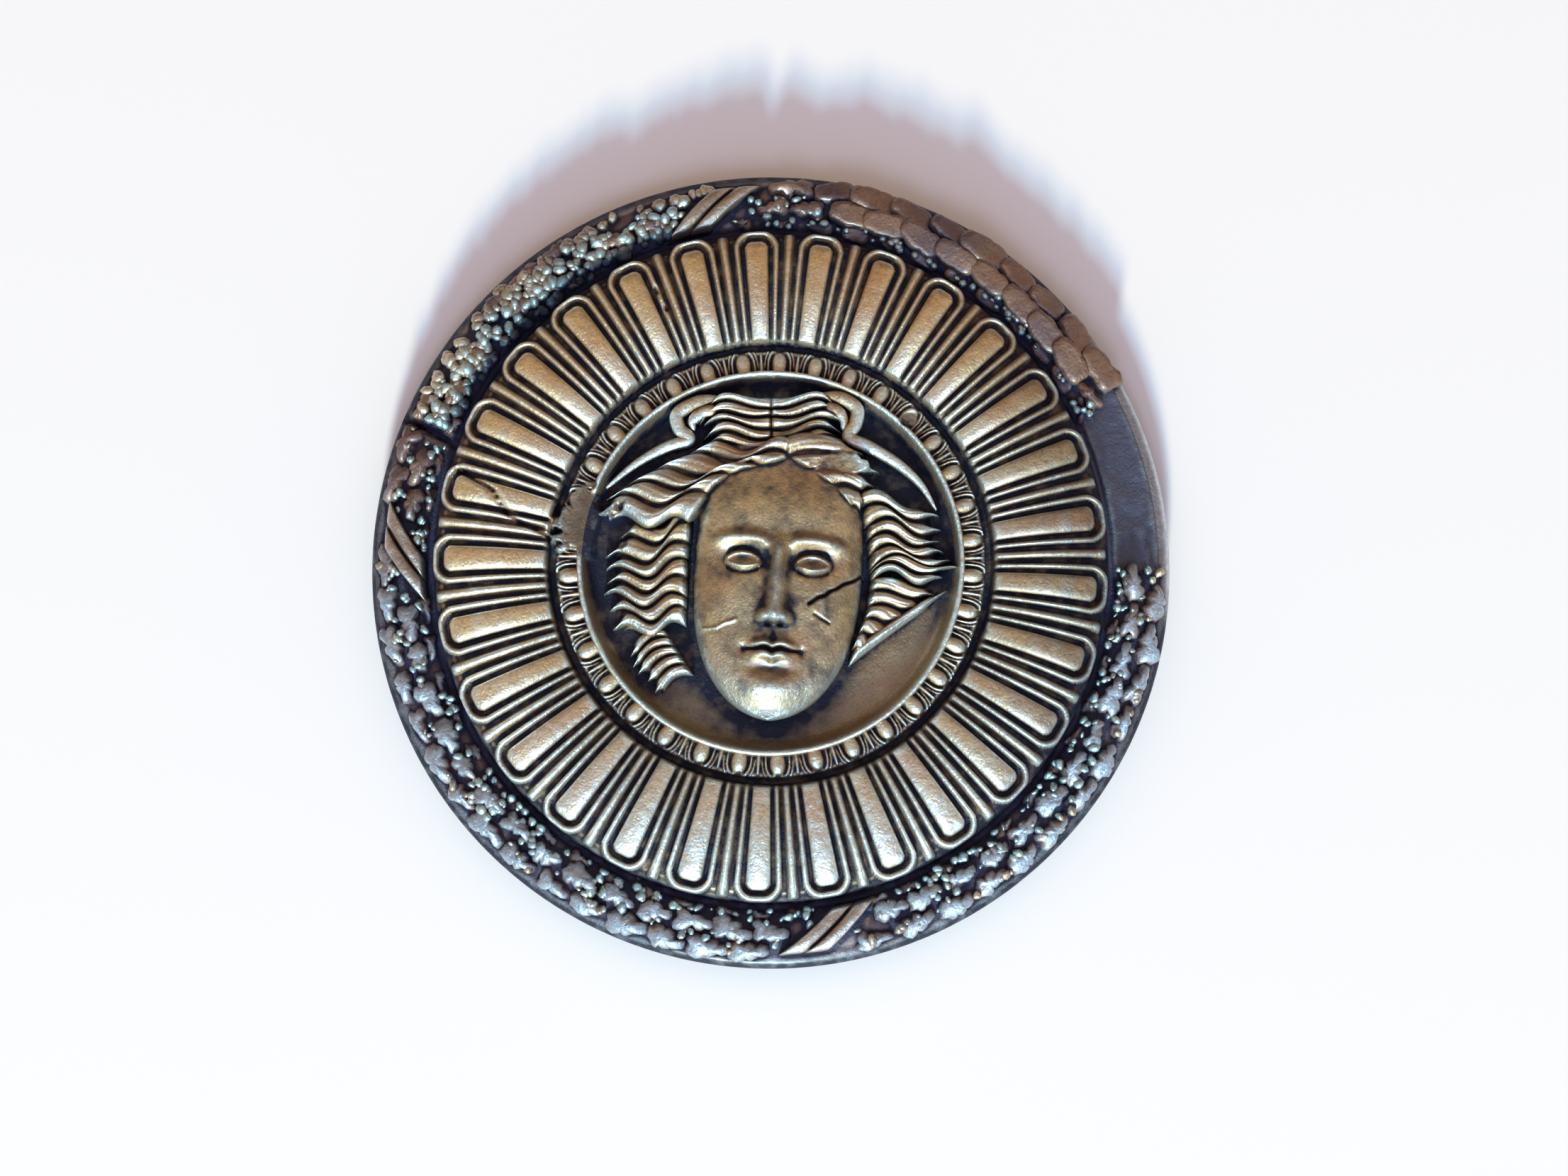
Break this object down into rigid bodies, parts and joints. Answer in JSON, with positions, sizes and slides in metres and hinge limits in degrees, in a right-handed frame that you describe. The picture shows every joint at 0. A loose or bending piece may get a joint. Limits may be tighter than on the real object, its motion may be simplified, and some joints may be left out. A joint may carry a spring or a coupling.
{
  "type": "gorgon mask relief medallion",
  "caption": "Round bronze relief medallion: a calm winged mask with waving hair, ringed by eggs, tongues and a ribboned wreath, part of it broken away.",
  "frame": {"origin": "middle of the flat back, on the surface that the medallion lies on", "axes": "+Z out of the relief, towards the viewer; +Y towards the top of the head; +X to the viewer's right"},
  "size_m": [0.08, 0.08, 0.0118],
  "materials": {
    "bronze": "cast bronze with a worn brown and blue-black patina"
  },
  "bodies": {
    "root": {"medallion": "bronze"}
  },
  "joints": []
}
